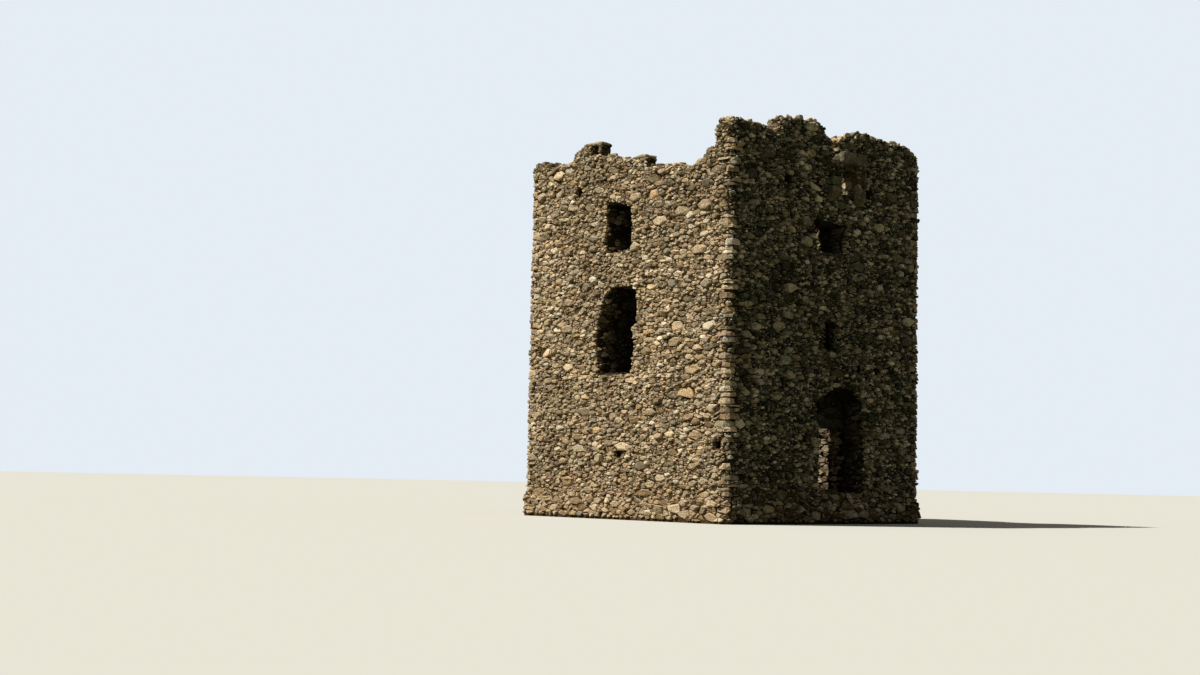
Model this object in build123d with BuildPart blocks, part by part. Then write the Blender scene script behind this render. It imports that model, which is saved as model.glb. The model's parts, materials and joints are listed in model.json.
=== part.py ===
from build123d import *
import os

# Ruined castle keep: a small square tower of rubble stone, three storeys high, with no roof.
# The frame: +Z up, origin at the middle of the plan on the lowest ground that the walls meet.
# The entrance is in the -Y wall (front), the large broken window in the -X wall (left).

# Plan of the tower
side = 7300
corner_radius = 180

# Heights of the storeys, the lowest from the lowest ground, and levels in it
ground_storey = 3400
first_storey = 2900
second_storey = 2000
footing_top = 560
door_sill = 750

# Walls, thinner at each floor so that the beams sat on ledges
ground_wall = 1100
first_wall = 975
second_wall = 850
parapet_wall = 480

# Tallest part of the parapet above the wall-walk; broken tops are given as shares of it
parapet_height = 1700

# Footing courses stand proud of the walls
footing_reach = 90

# Ground floor paving
paving_thickness = 200

# Doorway in the front wall, with its dressed stones gone and a void broken over its head
door_left = -380
door_right = 1340
door_head = 2400
void_depth = 620
void_side_reach = 120
void_side_height = 670
door_lintel_height = 260
door_bearing = 180

# First-floor loop in the front wall; upper openings are measured from the floor they stand on
loop_left = -220
loop_right = 260
loop_sill = 880
loop_head = 1630
loop_splay = 300

# Second-floor window in the front wall
front_window_left = -640
front_window_right = 620
front_window_sill = 420
front_window_head = 1270

# Large broken window in the left wall, first floor
big_window_left = -950
big_window_right = 540
big_window_sill = 220
big_window_head = 2440

# Its square-headed inner frame
rear_frame_depth = 325
rear_jamb_left = 250
rear_jamb_right = 210
rear_head_drop = 460

# Second-floor window in the left wall
left_window_left = -635
left_window_right = 295
left_window_sill = 420
left_window_head = 1750

# Gun loop low in the left wall
gun_loop_left = -125
gun_loop_sill = 1550
gun_loop_size = 150

# Small hole beside the left wall's near corner, where a stone has dropped out
corner_hole_inset = 205
corner_hole_sill = 1770
corner_hole_size = 165
corner_hole_depth = 300

# Windows and loops of the two walls that repeat these storeys
plain_window_width = 900
plain_window_sill = 450
plain_window_head = 1650
plain_loop_width = 300
plain_loop_sill = 850
plain_loop_head = 1650

# Putlog holes in the front wall, and drains at the foot of the parapet
putlog_size = 130
putlog_depth = 300
putlog_height = 420
putlog_places = (1070, 1750)
drain_width = 180
drain_height = 230
front_drain = -1640
left_drain = -1700
box_drain = 1450

# Parapet of the front wall: a merlon, low masonry beside it, and under a lintel the slot over the door
merlon_left = -1890
merlon_right = 50
slot_left = 430
slot_right = 1000
slot_height = 780

# Remains of the box that hung over the door
corbel_left = -140
corbel_width = 320
corbel_inset = 130
corbel_reach = 210
corbel_nose = 90
corbel_height = 400
corbel_rise = 170
cheek_width = 190
cheek_reach = 170
box_lintel_left = 360
box_lintel_bearing = 110
box_lintel_height = 320
box_lintel_reach = 150
bed_slab_length = 330
bed_slab_height = 210
bed_slab_reach = 230

# Parapet of the left wall: a tall stub and a middle length, both thin, and broken lengths beside them
stub_left = -1960
stub_right = -910
stub_height = 1290
stub_shoulder = 140
stub_wall = 300
middle_right = 780
middle_height = 730
middle_rise = 230
peep_centre = -1150
peep_width = 270
peep_height = 270

# Cap stones that still lie on the stub and on the middle length
stub_cap_left = -1600
middle_cap_left = 340
cap_height = 90
cap_reach = 40

# Gap in the parapet of the right wall
right_gap_left = -900
right_gap_right = 200

half = side / 2
parapet_end = half - parapet_wall
first_floor = ground_storey
second_floor = first_floor + first_storey
wall_walk = second_floor + second_storey

os.makedirs("parts", exist_ok=True)

# Each wall has its own plane on its outer face: x runs to the right as seen from outside, y up
front_face = Plane(origin=(0, -half, 0), x_dir=(1, 0, 0), z_dir=(0, -1, 0))
left_face = Plane(origin=(-half, 0, 0), x_dir=(0, -1, 0), z_dir=(-1, 0, 0))
right_face = Plane(origin=(half, 0, 0), x_dir=(0, 1, 0), z_dir=(1, 0, 0))
back_face = Plane(origin=(0, half, 0), x_dir=(-1, 0, 0), z_dir=(0, 1, 0))


def finish(part, name):
    """Labels a finished piece and writes it."""
    part.label = name
    export_step(part, f"parts/{name}.step")


def panel(face, left, right, bottom, top, thickness, start=0, mode=Mode.ADD):
    """Adds or cuts a rectangle of wall that starts behind the outer face by start."""
    with BuildSketch(face.offset(-start)) as slab:
        with Locations(((left + right) / 2, (bottom + top) / 2)):
            Rectangle(right - left, top - bottom)
    extrude(slab.sketch, amount=-thickness, mode=mode)


def outline(face, points, thickness, start=0, mode=Mode.ADD):
    """Adds or cuts an outline drawn on a wall's face, straight through by thickness."""
    with BuildSketch(face.offset(-start)) as drawn:
        with BuildLine():
            Polyline(*points, close=True)
        make_face()
    extrude(drawn.sketch, amount=-thickness, mode=mode)


def broken_shape(left, right, bottom, top, shares):
    """Places a broken outline, given as shares of its width and height, in its rectangle."""
    return [(left + u * (right - left), bottom + v * (top - bottom)) for u, v in shares]


def splayed_opening(face, left, right, bottom, top, thickness, splay):
    """Cuts an opening through a wall, wider inside than outside by splay on each side."""
    centre = ((left + right) / 2, (bottom + top) / 2)
    with BuildSketch(face) as outside:
        with Locations(centre):
            Rectangle(right - left, top - bottom)
    with BuildSketch(face.offset(-thickness)) as inside:
        with Locations(centre):
            Rectangle(right - left + 2 * splay, top - bottom)
    loft([outside.sketch, inside.sketch], mode=Mode.SUBTRACT)


def drain(face, centre, width):
    """Cuts a drain through the parapet at the level of the wall-walk."""
    panel(face, centre - width / 2, centre + width / 2, wall_walk, wall_walk + drain_height,
          parapet_wall, mode=Mode.SUBTRACT)


# Storeys: bottom, top, wall thickness, and how far a wall runs between the corner masses
ground_span = half - ground_wall
first_span = half - first_wall
second_span = half - second_wall
storeys = [
    (0, first_floor, ground_wall),
    (first_floor, second_floor, first_wall),
    (second_floor, wall_walk, second_wall),
]

# The tower's rounded square, which trims the corners and the ends of the parapets
with BuildPart() as tower_block:
    with BuildSketch():
        RectangleRounded(side, side, corner_radius)
    extrude(amount=wall_walk + 2 * parapet_height)


def corner_mass(x_side, y_side):
    """Builds one corner of the tower, stepped back inside at each floor, rounded outside."""
    with BuildPart() as corner:
        for bottom, top, thickness in storeys:
            with BuildSketch(Plane.XY.offset(bottom)):
                with Locations((x_side * half, y_side * half)):
                    Rectangle(2 * thickness, 2 * thickness)
            extrude(amount=top - bottom)
        add(tower_block.part, mode=Mode.INTERSECT)
    return corner.part


corner_hole_right = half - corner_hole_inset
with BuildPart() as corner_front_left:
    add(corner_mass(-1, -1))
    panel(left_face, corner_hole_right - corner_hole_size, corner_hole_right, corner_hole_sill,
          corner_hole_sill + corner_hole_size, corner_hole_depth, mode=Mode.SUBTRACT)
finish(corner_front_left.part, "corner_front_left")

corners = {
    "corner_front_right": (1, -1),
    "corner_back_left": (-1, 1),
    "corner_back_right": (1, 1),
}
for corner_name, (x_side, y_side) in corners.items():
    finish(corner_mass(x_side, y_side), corner_name)

# Footing courses: one strip along each wall, those at front and back carried round the corners
with BuildPart() as footing_ring:
    with BuildSketch():
        RectangleRounded(side + 2 * footing_reach, side + 2 * footing_reach, corner_radius + footing_reach)
        RectangleRounded(side, side, corner_radius, mode=Mode.SUBTRACT)
    extrude(amount=footing_top)

footing_cut = half - corner_radius
footings = {
    "footing_front": (Plane.XZ.offset(footing_cut), Keep.TOP),
    "footing_back": (Plane.XZ.offset(-footing_cut), Keep.BOTTOM),
}
for footing_name, (cut_plane, kept) in footings.items():
    with BuildPart() as footing:
        add(footing_ring.part)
        split(bisect_by=cut_plane, keep=kept)
    finish(footing.part, footing_name)

for footing_name, face in {"footing_left": left_face, "footing_right": right_face}.items():
    with BuildPart() as footing:
        panel(face, -footing_cut, footing_cut, 0, footing_top, footing_reach, start=-footing_reach)
    finish(footing.part, footing_name)

# Ground floor paving, between the walls at the door's sill
with BuildPart() as ground_floor:
    with BuildSketch(Plane.XY.offset(door_sill - paving_thickness)):
        Rectangle(2 * ground_span, 2 * ground_span)
    extrude(amount=paving_thickness)
finish(ground_floor.part, "ground_floor")

# Front wall, ground storey: two walls beside the doorway, and a void broken back over its head
lintel_depth = ground_wall - void_depth
lintel_top = door_head + door_lintel_height
lintel_left = door_left - door_bearing
lintel_right = door_right + door_bearing
side_break = [(1, 0), (0, 0.24), (0, 0.82), (1, 1)]
void_shares = [(0, 0), (0, 0.55), (0.32, 1), (0.74, 1), (0.94, 0.55), (1, 0)]

with BuildPart() as front_wall_left_of_door:
    panel(front_face, -ground_span, door_left, 0, first_floor, ground_wall)
    left_break = broken_shape(door_left - void_side_reach, door_left, door_head,
                              door_head + void_side_height, side_break)
    outline(front_face, left_break, void_depth, mode=Mode.SUBTRACT)
    panel(front_face, lintel_left, door_left, door_head, lintel_top, lintel_depth,
          start=void_depth, mode=Mode.SUBTRACT)
finish(front_wall_left_of_door.part, "front_wall_left_of_door")

with BuildPart() as front_wall_right_of_door:
    panel(front_face, door_right, ground_span, 0, first_floor, ground_wall)
    panel(front_face, door_right, lintel_right, door_head, lintel_top, lintel_depth,
          start=void_depth, mode=Mode.SUBTRACT)
finish(front_wall_right_of_door.part, "front_wall_right_of_door")

with BuildPart() as door_threshold:
    panel(front_face, door_left, door_right, 0, door_sill, ground_wall)
finish(door_threshold.part, "door_threshold")

# The inner lintel bears on both walls, and carries the rough masonry at the back of the void
with BuildPart() as door_inner_lintel:
    panel(front_face, lintel_left, lintel_right, door_head, lintel_top, lintel_depth, start=void_depth)
finish(door_inner_lintel.part, "door_inner_lintel")

with BuildPart() as masonry_over_door:
    panel(front_face, door_left, door_right, lintel_top, first_floor, ground_wall)
    void_shape = broken_shape(door_left, door_right, lintel_top, first_floor, void_shares)
    outline(front_face, void_shape, void_depth, mode=Mode.SUBTRACT)
finish(masonry_over_door.part, "masonry_over_door")

# Front wall, first floor, with its loop and two putlog holes
putlog_bottom = first_floor + putlog_height
with BuildPart() as front_wall_first_floor:
    panel(front_face, -first_span, first_span, first_floor, second_floor, first_wall)
    splayed_opening(front_face, loop_left, loop_right, first_floor + loop_sill,
                    first_floor + loop_head, first_wall, loop_splay)
    for place in putlog_places:
        panel(front_face, place, place + putlog_size, putlog_bottom, putlog_bottom + putlog_size,
              putlog_depth, mode=Mode.SUBTRACT)
finish(front_wall_first_floor.part, "front_wall_first_floor")

# Front wall, second floor: a window broken wider at its head
front_window_shares = [(0.14, 0), (0.86, 0), (0.93, 0.73), (1, 0.93), (0, 1)]
with BuildPart() as front_wall_second_floor:
    panel(front_face, -second_span, second_span, second_floor, wall_walk, second_wall)
    front_window = broken_shape(front_window_left, front_window_right, second_floor + front_window_sill,
                                second_floor + front_window_head, front_window_shares)
    outline(front_face, front_window, second_wall, mode=Mode.SUBTRACT)
finish(front_wall_second_floor.part, "front_wall_second_floor")

# Left wall, ground storey, with one small gun loop
with BuildPart() as left_wall_ground_floor:
    panel(left_face, -ground_span, ground_span, 0, first_floor, ground_wall)
    splayed_opening(left_face, gun_loop_left, gun_loop_left + gun_loop_size,
                    gun_loop_sill, gun_loop_sill + gun_loop_size, ground_wall, gun_loop_size)
finish(left_wall_ground_floor.part, "left_wall_ground_floor")

# Left wall, first floor: the large window, its outline worn back on both sides
big_window_shares = [
    (0.09, 0), (0.04, 0.23), (0, 0.34), (0, 0.52), (0.09, 0.70), (0.17, 0.88), (0.38, 1),
    (0.85, 1), (1, 0.91), (1, 0.57), (0.89, 0.51), (0.94, 0.31), (0.87, 0),
]
big_window_bottom = first_floor + big_window_sill
big_window_top = first_floor + big_window_head
big_window = broken_shape(big_window_left, big_window_right, big_window_bottom,
                          big_window_top, big_window_shares)
with BuildPart() as left_wall_first_floor:
    panel(left_face, -first_span, first_span, first_floor, second_floor, first_wall)
    outline(left_face, big_window, first_wall, mode=Mode.SUBTRACT)
finish(left_wall_first_floor.part, "left_wall_first_floor")

# What is left of the window's square-headed inner frame, standing in the back of that opening
with BuildPart() as left_window_rear_frame:
    outline(left_face, big_window, rear_frame_depth, start=first_wall - rear_frame_depth)
    panel(left_face, big_window_left + rear_jamb_left, big_window_right - rear_jamb_right,
          big_window_bottom, big_window_top - rear_head_drop, first_wall, mode=Mode.SUBTRACT)
finish(left_window_rear_frame.part, "left_window_rear_frame")

# Left wall, second floor: a window whose head has partly fallen
left_window_shares = [(0, 0), (1, 0), (1, 0.83), (0.41, 0.97), (0, 1)]
with BuildPart() as left_wall_second_floor:
    panel(left_face, -second_span, second_span, second_floor, wall_walk, second_wall)
    left_window = broken_shape(left_window_left, left_window_right, second_floor + left_window_sill,
                               second_floor + left_window_head, left_window_shares)
    outline(left_face, left_window, second_wall, mode=Mode.SUBTRACT)
finish(left_wall_second_floor.part, "left_wall_second_floor")

# Right and back walls repeat the storeys: a plain ground floor, a loop, a window
for wall_name, face in {"right_wall": right_face, "back_wall": back_face}.items():
    with BuildPart() as plain_ground:
        panel(face, -ground_span, ground_span, 0, first_floor, ground_wall)
    finish(plain_ground.part, f"{wall_name}_ground_floor")
    with BuildPart() as plain_first:
        panel(face, -first_span, first_span, first_floor, second_floor, first_wall)
        splayed_opening(face, -plain_loop_width / 2, plain_loop_width / 2, first_floor + plain_loop_sill,
                        first_floor + plain_loop_head, first_wall, loop_splay)
    finish(plain_first.part, f"{wall_name}_first_floor")
    with BuildPart() as plain_second:
        panel(face, -second_span, second_span, second_floor, wall_walk, second_wall)
        panel(face, -plain_window_width / 2, plain_window_width / 2, second_floor + plain_window_sill,
              second_floor + plain_window_head, second_wall, mode=Mode.SUBTRACT)
    finish(plain_second.part, f"{wall_name}_second_floor")


def ragged_length(face, left, right, top_shares):
    """Adds a length of parapet whose broken top is given as shares of its length and of the height."""
    shares = [(0, 0)] + top_shares + [(1, 0)]
    outline(face, broken_shape(left, right, wall_walk, wall_walk + parapet_height, shares), parapet_wall)


# Parapet over the front wall: the left length, the tall merlon, and the length over the slot
slot_head = wall_walk + slot_height
with BuildPart() as parapet_front_left:
    left_top = [(0, 0.69), (0.085, 0.78), (0.585, 0.77), (0.81, 0.72), (1, 0.76)]
    ragged_length(front_face, -half, merlon_left, left_top)
    add(tower_block.part, mode=Mode.INTERSECT)
finish(parapet_front_left.part, "parapet_front_left")

with BuildPart() as merlon_over_door:
    merlon_top = [(0, 0.82), (0.04, 0.93), (0.113, 0.965), (0.71, 1), (0.835, 0.94), (0.866, 0.81), (1, 0.76)]
    ragged_length(front_face, merlon_left, merlon_right, merlon_top)
    panel(front_face, merlon_right, slot_left, wall_walk, slot_head, parapet_wall)
    drain(front_face, front_drain, drain_width)
finish(merlon_over_door.part, "merlon_over_door")

cheek_right = slot_right + cheek_width
box_lintel_right = cheek_right + box_lintel_bearing
box_lintel_top = slot_head + box_lintel_height
with BuildPart() as parapet_front_right:
    right_top = [
        (0, 0.765), (0.064, 0.875), (0.25, 0.98), (0.347, 1), (0.374, 0.93),
        (0.468, 0.975), (0.578, 0.925), (0.772, 0.955), (0.924, 0.87), (1, 0.65),
    ]
    ragged_length(front_face, box_lintel_left, half, right_top)
    panel(front_face, box_lintel_left, cheek_right, wall_walk, slot_head, parapet_wall, mode=Mode.SUBTRACT)
    panel(front_face, box_lintel_left, box_lintel_right, slot_head, box_lintel_top,
          parapet_wall, mode=Mode.SUBTRACT)
    drain(front_face, box_drain, drain_width)
    add(tower_block.part, mode=Mode.INTERSECT)
finish(parapet_front_right.part, "parapet_front_right")

# Remains of the box over the door: two corbels, the slab on the left one, the right cheek, a lintel
corbel_top = wall_walk + corbel_rise
corbel_shoulder = corbel_height * 0.6
corbel_bend = (corbel_nose + 0.63 * (corbel_reach - corbel_nose), corbel_height * 0.26)
with BuildPart() as corbels:
    for corbel_x in (corbel_left, slot_right - corbel_inset):
        corbel_foot = (corbel_x, -half, corbel_top - corbel_height)
        with BuildSketch(Plane(origin=corbel_foot, x_dir=(0, -1, 0), z_dir=(-1, 0, 0))):
            with BuildLine():
                Polyline((corbel_reach, corbel_shoulder), (corbel_reach, corbel_height),
                         (0, corbel_height), (0, 0), (corbel_nose, 0))
                ThreePointArc((corbel_nose, 0), corbel_bend, (corbel_reach, corbel_shoulder))
            make_face()
        extrude(amount=-corbel_width)
finish(corbels.part, "corbels")

with BuildPart() as corbel_slab:
    panel(front_face, corbel_left, corbel_left + bed_slab_length, corbel_top,
          corbel_top + bed_slab_height, bed_slab_reach, start=-bed_slab_reach)
finish(corbel_slab.part, "corbel_slab")

with BuildPart() as box_cheek:
    panel(front_face, slot_right, cheek_right, wall_walk, slot_head, parapet_wall)
    panel(front_face, slot_right, cheek_right, corbel_top, slot_head, cheek_reach, start=-cheek_reach)
finish(box_cheek.part, "box_cheek")

with BuildPart() as box_lintel:
    panel(front_face, box_lintel_left, box_lintel_right, slot_head, box_lintel_top,
          parapet_wall + box_lintel_reach, start=-box_lintel_reach)
finish(box_lintel.part, "box_lintel")

# Parapet over the left wall: far length, tall stub with a hole under its cap, middle, near length
with BuildPart() as parapet_left_far:
    far_top = [(0, 0.605), (0.17, 0.58), (0.2, 0.53), (0.86, 0.54), (1, 0.58)]
    ragged_length(left_face, -parapet_end, stub_left, far_top)
finish(parapet_left_far.part, "parapet_left_far")

stub_top = wall_walk + stub_height
with BuildPart() as parapet_left_stub:
    stub_outline = [
        (stub_left, wall_walk),
        (stub_left, stub_top - stub_shoulder),
        (stub_cap_left, stub_top),
        (stub_right, stub_top),
        (stub_right, wall_walk),
    ]
    outline(left_face, stub_outline, stub_wall)
    drain(left_face, left_drain, drain_width)
    panel(left_face, peep_centre - peep_width / 2, peep_centre + peep_width / 2,
          stub_top - peep_height, stub_top, stub_wall, mode=Mode.SUBTRACT)
finish(parapet_left_stub.part, "parapet_left_stub")

middle_top = wall_walk + middle_height
with BuildPart() as parapet_left_middle:
    middle_outline = [
        (stub_right, wall_walk),
        (stub_right, middle_top + middle_rise),
        (middle_cap_left, middle_top),
        (middle_right, middle_top),
        (middle_right, wall_walk),
    ]
    outline(left_face, middle_outline, stub_wall)
finish(parapet_left_middle.part, "parapet_left_middle")

with BuildPart() as parapet_left_near:
    near_top = [
        (0, 0.275), (0.385, 0.245), (0.5, 0.17), (0.59, 0.13),
        (0.825, 0.265), (0.855, 0.335), (1, 0.4),
    ]
    ragged_length(left_face, middle_right, parapet_end, near_top)
finish(parapet_left_near.part, "parapet_left_near")

# Two flat cap stones that are still in place, a little proud of the parapet on both faces
cap_depth = stub_wall + 2 * cap_reach
with BuildPart() as parapet_caps:
    panel(left_face, stub_cap_left, stub_right, stub_top, stub_top + cap_height,
          cap_depth, start=-cap_reach)
    panel(left_face, middle_cap_left, middle_right, middle_top, middle_top + cap_height,
          cap_depth, start=-cap_reach)
finish(parapet_caps.part, "parapet_caps")

# Parapets of the right and back walls, broken down in the same way
with BuildPart() as parapet_right:
    right_far_top = [(0, 0.66), (0.21, 0.635), (0.56, 0.705), (0.89, 0.56), (1, 0.35)]
    ragged_length(right_face, -parapet_end, right_gap_left, right_far_top)
    right_near_top = [(0, 0.2), (0.05, 0.235), (0.236, 0.44), (0.438, 0.47), (0.707, 0.65), (1, 0.6)]
    ragged_length(right_face, right_gap_right, parapet_end, right_near_top)
finish(parapet_right.part, "parapet_right")

with BuildPart() as parapet_back:
    back_top = [
        (0, 0.635), (0.158, 0.675), (0.308, 0.53), (0.418, 0.28), (0.568, 0.2),
        (0.678, 0.41), (0.801, 0.56), (0.897, 0.66), (1, 0.61),
    ]
    ragged_length(back_face, -half, half, back_top)
    add(tower_block.part, mode=Mode.INTERSECT)
finish(parapet_back.part, "parapet_back")
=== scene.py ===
# %% [markdown]
# # A ruined keep of rubble stone
#
# The solids of the tower are already made, as smooth blocks with their real thickness and their
# broken outlines. This lesson lays the stones on them. A mason builds such a wall from field
# stones of every size, the large ones first and small ones pushed into what is left between
# them, and the same order is used here. The smooth solids stay visible between the stones, as
# the mortar that time has washed back.

# %% Load the solids
import json
import math
import random

import bpy
from mathutils import Matrix, Vector
from mathutils.bvhtree import BVHTree


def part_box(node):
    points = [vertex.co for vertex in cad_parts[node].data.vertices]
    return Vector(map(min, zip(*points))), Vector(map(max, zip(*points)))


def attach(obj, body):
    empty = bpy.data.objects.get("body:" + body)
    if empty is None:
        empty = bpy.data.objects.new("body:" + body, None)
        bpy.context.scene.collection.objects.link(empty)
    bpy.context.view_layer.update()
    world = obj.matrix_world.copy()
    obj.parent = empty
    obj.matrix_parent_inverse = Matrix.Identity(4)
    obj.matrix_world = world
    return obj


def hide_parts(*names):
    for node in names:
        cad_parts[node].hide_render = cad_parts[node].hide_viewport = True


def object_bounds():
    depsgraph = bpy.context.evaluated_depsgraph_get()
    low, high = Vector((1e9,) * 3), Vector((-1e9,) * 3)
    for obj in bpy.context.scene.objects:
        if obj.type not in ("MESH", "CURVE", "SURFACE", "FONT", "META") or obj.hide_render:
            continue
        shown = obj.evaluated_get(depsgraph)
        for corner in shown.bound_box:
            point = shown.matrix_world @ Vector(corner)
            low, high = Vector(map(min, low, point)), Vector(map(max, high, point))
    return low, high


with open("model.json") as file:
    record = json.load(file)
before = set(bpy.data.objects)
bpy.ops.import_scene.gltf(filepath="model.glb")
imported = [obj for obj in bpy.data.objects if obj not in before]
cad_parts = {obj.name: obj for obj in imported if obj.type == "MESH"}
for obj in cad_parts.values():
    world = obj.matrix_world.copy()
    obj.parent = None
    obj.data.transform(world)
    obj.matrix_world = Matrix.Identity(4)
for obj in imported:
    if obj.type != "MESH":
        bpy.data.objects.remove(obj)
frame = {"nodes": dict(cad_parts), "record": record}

cad_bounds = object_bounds()
nodes = frame["nodes"]
slot_of = {part["node"]: part["material_slot"] for part in frame["record"]["subparts"]}
print(len(nodes), "solids in the frame, box", cad_bounds)

# %% [markdown]
# ## Camera
#
# The photograph was taken from a field below the tower, with the eye about a metre above the
# tower's lowest ground and about forty metres from its near corner. A long way off and slightly
# tilted up, the tower's upright edges stay almost parallel. The camera was fitted to those
# edges and to the lines of base and wall-head, so it is placed by its point, heading, pitch
# and roll.

# %% Place the camera
eye = Vector((-32.05, -30.41, 0.97))
heading = Vector((0.6726, 0.7400, 0.0)).normalized()
pitch = math.radians(4.9)
roll = math.radians(1.2)
lens_mm = 49.89

up = Vector((0, 0, 1))
across = heading.cross(up)
forward = heading * math.cos(pitch) + up * math.sin(pitch)
upward = up * math.cos(pitch) - heading * math.sin(pitch)
camera_right = across * math.cos(roll) + upward * math.sin(roll)
camera_up = upward * math.cos(roll) - across * math.sin(roll)


def add_object(name, data):
    """Puts a new object in the scene."""
    made = bpy.data.objects.new(name, data)
    bpy.context.scene.collection.objects.link(made)
    return made


camera_data = bpy.data.cameras.new("camera")
camera_data.lens = lens_mm
camera_data.sensor_width = 36
camera_data.clip_end = 500
camera = add_object("camera", camera_data)
camera.matrix_world = Matrix((camera_right, camera_up, -forward)).transposed().to_4x4()
camera.matrix_world.translation = eye
bpy.context.scene.camera = camera
print("camera", [round(v, 2) for v in eye], "lens", lens_mm)

# %% [markdown]
# ## Light and floor
#
# The left wall is in high sun that grazes down it, so that every stone throws a shadow on the
# one below, and the entrance wall is in shade. One sun lamp with a soft edge gives both. The sun
# also comes in over the wall-head and lands on the inside of the right wall, where it shows
# through the doorway. The floor is pale where the camera sees it. Towards the tower it throws
# back no more light than a field does, or the shaded wall would lose its depth.

# %% Helpers for building any node tree
def feed(tree, socket, value):
    """Links a socket to another one, or sets it to a number or a colour."""
    if isinstance(value, bpy.types.NodeSocket):
        tree.links.new(value, socket)
    elif isinstance(value, tuple):
        socket.default_value = (*value, 1)
    else:
        socket.default_value = value


def node(tree, kind, **values):
    """Adds a node and feeds its inputs by name."""
    made = tree.nodes.new(kind)
    for name, value in values.items():
        feed(tree, made.inputs[name.replace("_", " ")], value)
    return made


def maths(tree, operation, first, second, third=0.0):
    """Adds a maths node; its inputs may be sockets or values."""
    made = tree.nodes.new("ShaderNodeMath")
    made.operation = operation
    for socket, value in zip(made.inputs, (first, second, third)):
        feed(tree, socket, value)
    return made.outputs[0]


def times(tree, first, second):
    """Multiplies two values."""
    return maths(tree, "MULTIPLY", first, second)


def seen_or_lit(tree, kind, seen, lit, end):
    """Shows one shader to the camera, mirrors and glass, and lights the scene with the other."""
    tree.nodes.clear()
    ray = tree.nodes.new("ShaderNodeLightPath").outputs
    is_seen = ray["Is Camera Ray"]
    for name in ("Is Glossy Ray", "Is Transmission Ray"):
        is_seen = maths(tree, "MAXIMUM", is_seen, ray[name])
    choice = node(tree, "ShaderNodeMixShader", Fac=is_seen)
    for socket, values in zip(choice.inputs[1:], (lit, seen)):
        feed(tree, socket, node(tree, kind, **values).outputs[0])
    node(tree, end, Surface=choice.outputs[0])

# %% Set the sun and the world
sun_travel = Vector((1.0, -0.5, -1.5))
sun_strength = 5.6
sun_softness = math.radians(2)
sun_colour = (1.0, 0.945, 0.83)
fill = {"Color": (1.0, 0.94, 0.80), "Strength": 0.20}
backdrop = {"Color": (0.78, 0.84, 0.91), "Strength": 1.0}

sun_data = bpy.data.lights.new("sun", "SUN")
sun_data.energy = sun_strength
sun_data.angle = sun_softness
sun_data.color = sun_colour
sun = add_object("sun", sun_data)
sun.rotation_euler = sun_travel.to_track_quat("-Z", "Y").to_euler()
world = bpy.data.worlds.new("studio")
world.use_nodes = True
bpy.context.scene.world = world
seen_or_lit(world.node_tree, "ShaderNodeBackground", backdrop, fill, "ShaderNodeOutputWorld")
bpy.context.scene.view_settings.view_transform = "Standard"
print("sun travels", tuple(sun_travel))

# %% Lay the floor
reach = 400
pale = {"Color": (0.50, 0.51, 0.50)}
field = {"Color": (0.12, 0.12, 0.07)}

floor_corners = [(-reach, -reach, 0), (reach, -reach, 0), (reach, reach, 0), (-reach, reach, 0)]
floor_mesh = bpy.data.meshes.new("studio_floor")
floor_mesh.from_pydata(floor_corners, [], [(0, 1, 2, 3)])
floor = add_object("studio_floor", floor_mesh)
floor_material = bpy.data.materials.new("pale_floor")
floor_material.use_nodes = True
seen_or_lit(floor_material.node_tree, "ShaderNodeBsdfDiffuse", pale, field, "ShaderNodeOutputMaterial")
floor_mesh.materials.append(floor_material)

# %% [markdown]
# ## The colour of field stones
#
# Each stone of a rubble wall comes from another place in the field, so neighbours differ in
# colour: buff and grey-tan for the most part, some pale, some ochre or pinkish, some dark. Every
# stone carries two numbers of its own, `kind` and `tone`. The material turns kind into a colour
# and tone into light or dark. Noise in the object's own coordinates then adds what lies over
# many stones at once: speckle, pale lichen, moss near the wall-head and an earthy stain at
# the foot. A noise is told its scale, detail and roughness, and `spread` is told the range that
# goes in and the range that comes out.

# %% Helpers for building a material
def noise(tree, coordinates, scale, detail=3.0, roughness=0.55):
    """Adds noise of a given scale, read from object coordinates."""
    look = {"Scale": scale, "Detail": detail, "Roughness": roughness}
    return node(tree, "ShaderNodeTexNoise", Vector=coordinates, **look).outputs["Fac"]


def ramp(tree, factor, stops, interpolation="LINEAR"):
    """Adds a colour ramp with the given stops of place and colour."""
    made = tree.nodes.new("ShaderNodeValToRGB")
    made.color_ramp.interpolation = interpolation
    elements = made.color_ramp.elements
    while len(elements) < len(stops):
        elements.new(0.5)
    for element, (place, colour) in zip(elements, stops):
        element.position = place
        element.color = (*colour, 1)
    tree.links.new(factor, made.inputs["Fac"])
    return made.outputs["Color"]


def mix(tree, kind, factor, first, second):
    """Mixes two colours; factor and either colour may be a socket or a value."""
    made = tree.nodes.new("ShaderNodeMix")
    made.data_type = "RGBA"
    made.blend_type = kind
    for place, value in ((0, factor), (6, first), (7, second)):
        feed(tree, made.inputs[place], value)
    return made.outputs[2]


def spread(tree, value, low, high, to_low=0.0, to_high=1.0):
    """Maps a range of a value onto another range, and clamps it."""
    ends = {"From_Min": low, "From_Max": high, "To_Min": to_low, "To_Max": to_high}
    return node(tree, "ShaderNodeMapRange", Value=value, **ends).outputs["Result"]


def shaded_by(tree, colour, shade):
    """Makes a colour lighter or darker by a value."""
    grey = node(tree, "ShaderNodeCombineColor", Red=shade, Green=shade, Blue=shade)
    return mix(tree, "MULTIPLY", 1.0, colour, grey.outputs["Color"])


def own_value(tree, name):
    """Reads a number that each stone carries."""
    made = tree.nodes.new("ShaderNodeAttribute")
    made.attribute_name = name
    return made.outputs["Fac"]


def axes_of(tree, coordinates):
    """Splits coordinates into X, Y and Z."""
    return node(tree, "ShaderNodeSeparateXYZ", Vector=coordinates).outputs


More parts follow.
